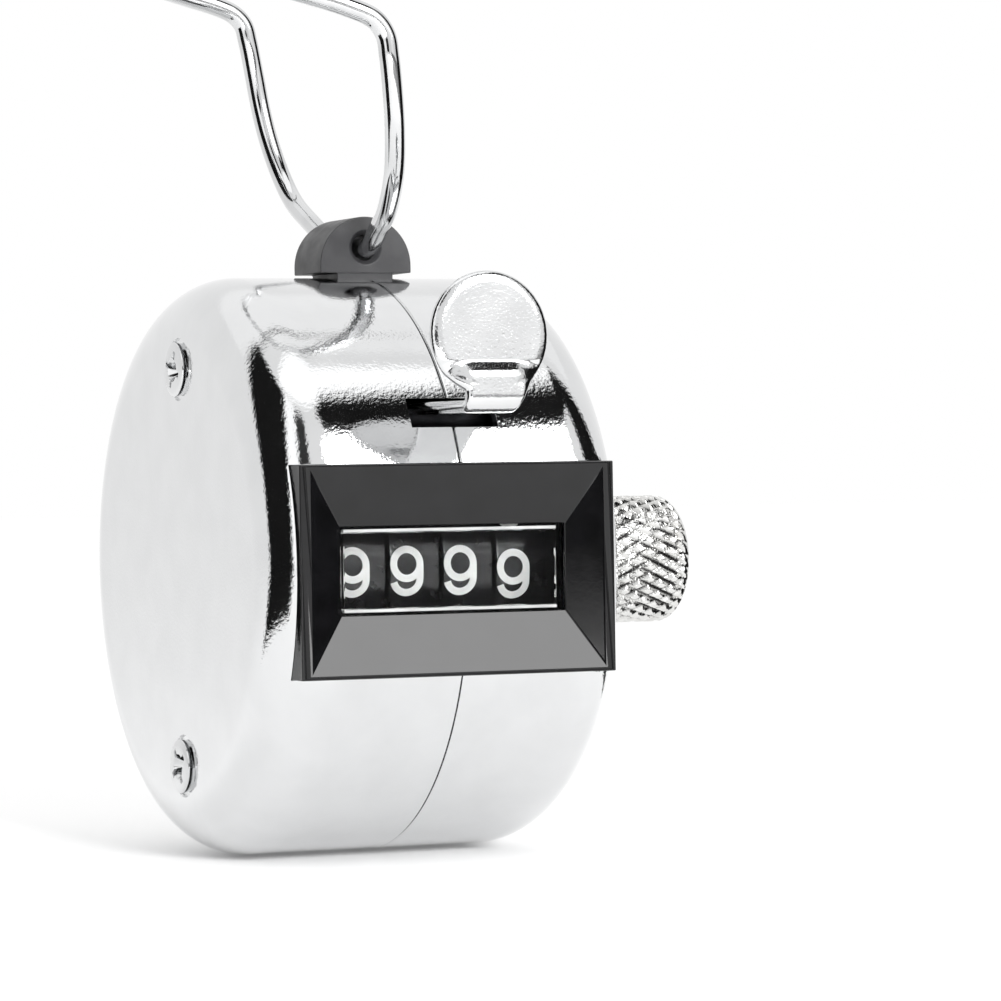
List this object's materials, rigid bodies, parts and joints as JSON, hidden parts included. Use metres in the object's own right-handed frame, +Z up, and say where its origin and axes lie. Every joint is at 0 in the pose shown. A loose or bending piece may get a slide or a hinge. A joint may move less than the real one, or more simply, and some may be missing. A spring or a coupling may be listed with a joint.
{
  "type": "hand tally counter",
  "caption": "Hand-held tally counter in a chrome drum casing, with a thumb lever, a number window, a knurled reset knob and a wire finger ring.",
  "frame": {"origin": "middle of the hole in the lug, where the finger ring hangs", "axes": "+Z up, -Y out of the number window, +X towards the reset knob"},
  "size_m": [0.045, 0.0513, 0.0721],
  "materials": {
    "chrome": "polished, bright",
    "steel": "plain, bright",
    "spring_steel": "oiled spring steel",
    "brass": "turned",
    "black_gloss": "glossy moulded",
    "black_matt": "satin moulded",
    "wheel_black": "satin moulded",
    "clear": "clear moulded",
    "nylon": "natural nylon"
  },
  "bodies": {
    "casing": {"left_casing": "chrome", "right_casing": "chrome", "casing_screw_upper": "chrome", "casing_screw_lower": "chrome", "bezel": "black_gloss", "window_lens": "clear", "ring_lug": "black_matt", "movement_frame": "steel", "wheel_guard": "wheel_black", "detent_spring": "spring_steel", "detent_screw": "steel", "spacer_left": "brass", "spacer_right": "brass", "knob_washer": "nylon", "transfer_shaft": "steel", "lever_shaft": "steel", "lever_clip_left": "spring_steel", "lever_clip_right": "spring_steel", "lever_return_spring": "spring_steel"},
    "ring": {"finger_ring": "chrome"},
    "knob": {"reset_knob": "chrome", "reset_shaft": "steel", "shaft_clip": "spring_steel"},
    "wheel_thousands": {"number_wheel_thousands": "wheel_black"},
    "wheel_hundreds": {"number_wheel_hundreds": "wheel_black"},
    "wheel_tens": {"number_wheel_tens": "wheel_black"},
    "wheel_units": {"number_wheel_units": "wheel_black"},
    "pinion_thousands": {"transfer_pinion_1000": "nylon"},
    "pinion_hundreds": {"transfer_pinion_100": "nylon"},
    "pinion_tens": {"transfer_pinion_10": "nylon"},
    "lever": {"thumb_lever": "chrome", "pawl_pin": "steel"},
    "pawl": {"drive_pawl": "steel", "pawl_spring": "spring_steel"}
  },
  "joints": [
    {"name": "ring_swing", "type": "hinge", "parent": "casing", "child": "ring", "pos_m": [0, 0, 0], "axis": [0, 1, 0], "range_deg": [-75, 95]},
    {"name": "lever_press", "type": "hinge", "parent": "casing", "child": "lever", "pos_m": [0.00015, -0.015, -0.01398], "axis": [1, 0, 0], "range_deg": [0, 9], "stiffness_Nm_per_rad": 0.06, "springref_deg": -20.05},
    {"name": "pawl_swing", "type": "hinge", "parent": "lever", "child": "pawl", "pos_m": [0.0084, -0.006, -0.01398], "axis": [1, 0, 0], "range_deg": [0, 8], "stiffness_Nm_per_rad": 0.001, "springref_deg": -17.19},
    {"name": "reset_turn", "type": "hinge", "parent": "casing", "child": "knob", "pos_m": [0.0184, -0.0083, -0.02538], "axis": [1, 0, 0], "continuous": true},
    {"name": "thousands_turn", "type": "hinge", "parent": "casing", "child": "wheel_thousands", "pos_m": [-0.00734, -0.0083, -0.02538], "axis": [1, 0, 0], "continuous": true},
    {"name": "hundreds_turn", "type": "hinge", "parent": "casing", "child": "wheel_hundreds", "pos_m": [-0.00286, -0.0083, -0.02538], "axis": [1, 0, 0], "continuous": true},
    {"name": "tens_turn", "type": "hinge", "parent": "casing", "child": "wheel_tens", "pos_m": [0.00162, -0.0083, -0.02538], "axis": [1, 0, 0], "continuous": true},
    {"name": "units_turn", "type": "hinge", "parent": "casing", "child": "wheel_units", "pos_m": [0.0061, -0.0083, -0.02538], "axis": [1, 0, 0], "continuous": true},
    {"name": "pinion_thousands_turn", "type": "hinge", "parent": "casing", "child": "pinion_thousands", "pos_m": [-0.0051, -0.00137, -0.03231], "axis": [1, 0, 0], "continuous": true},
    {"name": "pinion_hundreds_turn", "type": "hinge", "parent": "casing", "child": "pinion_hundreds", "pos_m": [-0.00062, -0.00137, -0.03231], "axis": [1, 0, 0], "continuous": true},
    {"name": "pinion_tens_turn", "type": "hinge", "parent": "casing", "child": "pinion_tens", "pos_m": [0.00386, -0.00137, -0.03231], "axis": [1, 0, 0], "continuous": true}
  ],
  "couplings": [
    {"joint": "pinion_thousands_turn", "follows": "thousands_turn", "ratio": -2.5},
    {"joint": "pinion_hundreds_turn", "follows": "hundreds_turn", "ratio": -2.5},
    {"joint": "pinion_tens_turn", "follows": "tens_turn", "ratio": -2.5}
  ]
}
